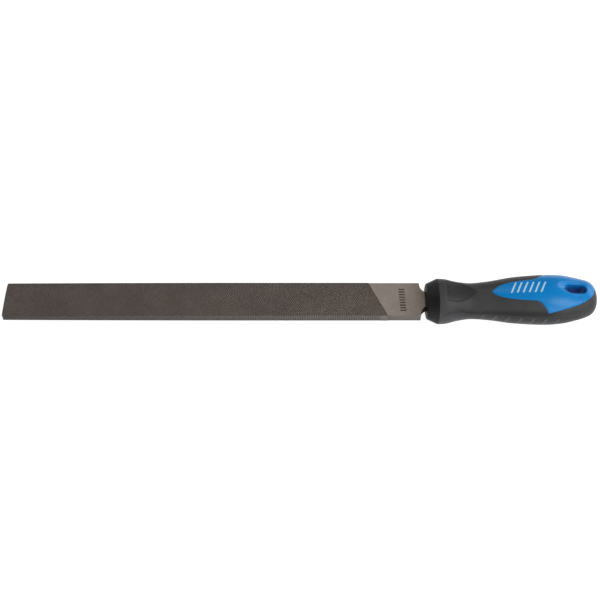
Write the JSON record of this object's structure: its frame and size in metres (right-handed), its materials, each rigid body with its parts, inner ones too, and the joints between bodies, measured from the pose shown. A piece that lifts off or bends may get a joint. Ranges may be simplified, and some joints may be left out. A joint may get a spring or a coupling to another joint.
{
  "type": "flat file",
  "caption": "Parallel-width flat metal file with double-cut faces, a plain heel and a tang fixed in a soft-grip handle with a hang hole.",
  "frame": {"origin": "midway between the point and the butt, on the blade's axis", "axes": "+X along the file towards the handle, +Y across the blade towards the edge with the longer plain heel, +Z square to the cut faces"},
  "size_m": [0.428, 0.0384, 0.033],
  "materials": {
    "blade_steel": "hardened tool steel, dull on the teeth and satin-ground on the heel",
    "core_plastic": "satin moulded polypropylene",
    "grip_rubber": "fine matt moulded elastomer"
  },
  "bodies": {
    "root": {"file_blade": "blade_steel", "handle_core": "core_plastic", "handle_grip": "grip_rubber"}
  },
  "joints": []
}
